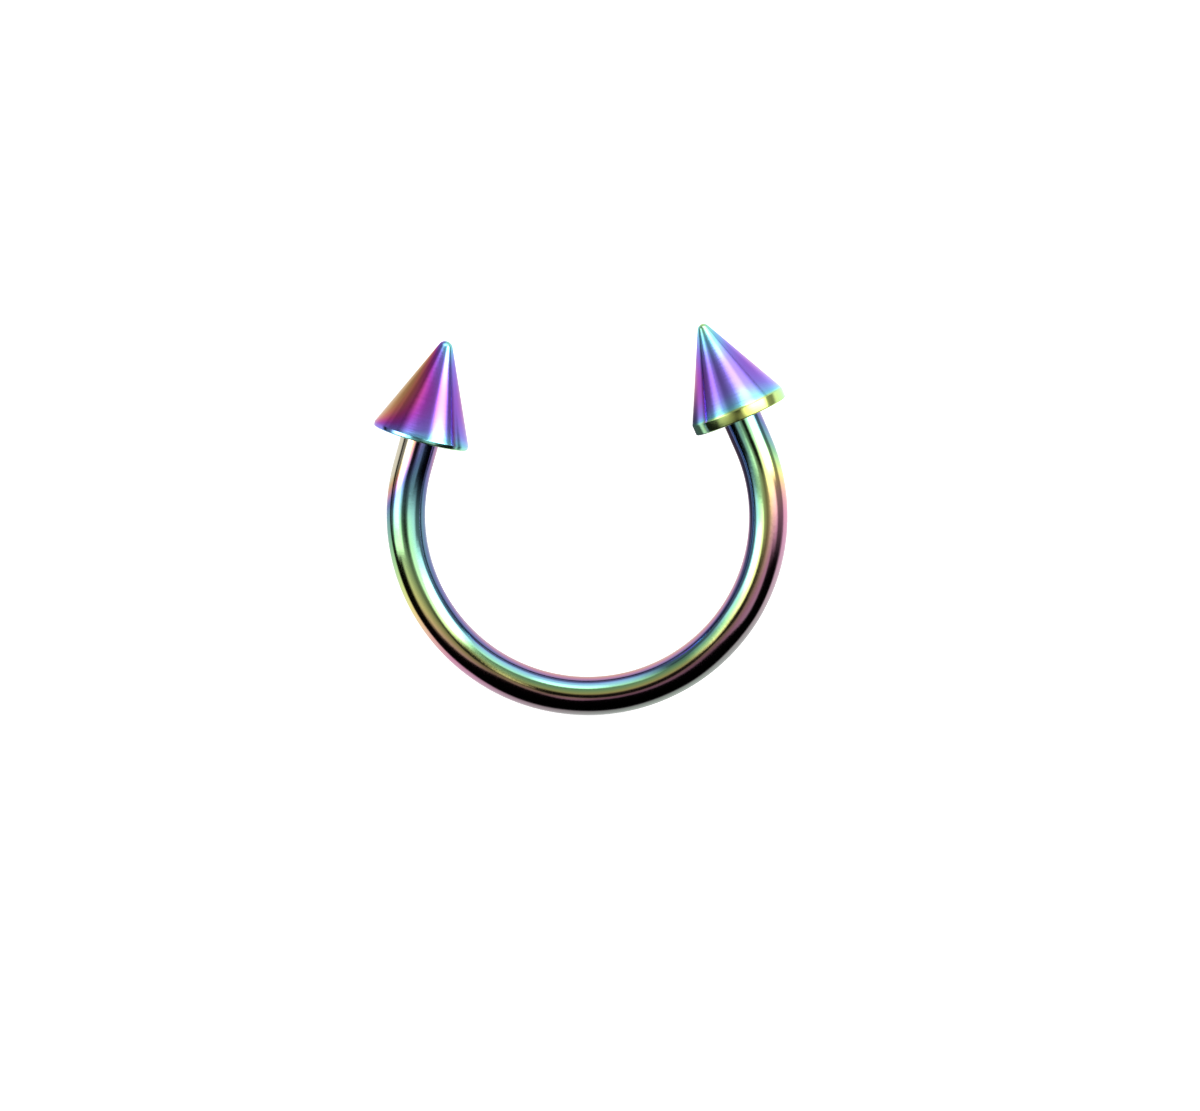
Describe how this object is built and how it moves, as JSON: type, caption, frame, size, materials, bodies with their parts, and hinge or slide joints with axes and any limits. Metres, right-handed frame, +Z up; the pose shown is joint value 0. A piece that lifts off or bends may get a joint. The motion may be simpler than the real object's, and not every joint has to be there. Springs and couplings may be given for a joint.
{
  "type": "circular barbell piercing ring",
  "caption": "Bent round bar, open like a horseshoe, closed at each end by a screwed-on conical spike; worn through a piercing.",
  "frame": {"origin": "on the surface the ring lies on, under the middle of its box", "axes": "+Z up from the surface, +X from the left spike to the right, +Y from the middle of the bar towards the open side"},
  "size_m": [0.0128, 0.0118, 0.003],
  "materials": {
    "polished_rainbow_steel": "mirror-polished surgical steel under a thin clear oxide film that shows green, blue, violet and gold",
    "turned_rainbow_steel": "fine-turned surgical steel under a thin clear oxide film that shows violet, blue and green"
  },
  "bodies": {
    "bar": {"bar": "polished_rainbow_steel"},
    "left_spike": {"left_spike": "turned_rainbow_steel"},
    "right_spike": {"right_spike": "turned_rainbow_steel"}
  },
  "joints": [
    {"name": "left_spike_unscrew", "type": "slide", "parent": "bar", "child": "left_spike", "axis": [0.3338, 0.9373, 0.1001], "range_m": [0, 0.0022]},
    {"name": "right_spike_unscrew", "type": "slide", "parent": "bar", "child": "right_spike", "axis": [-0.3338, 0.9373, 0.1001], "range_m": [0, 0.0022]}
  ]
}
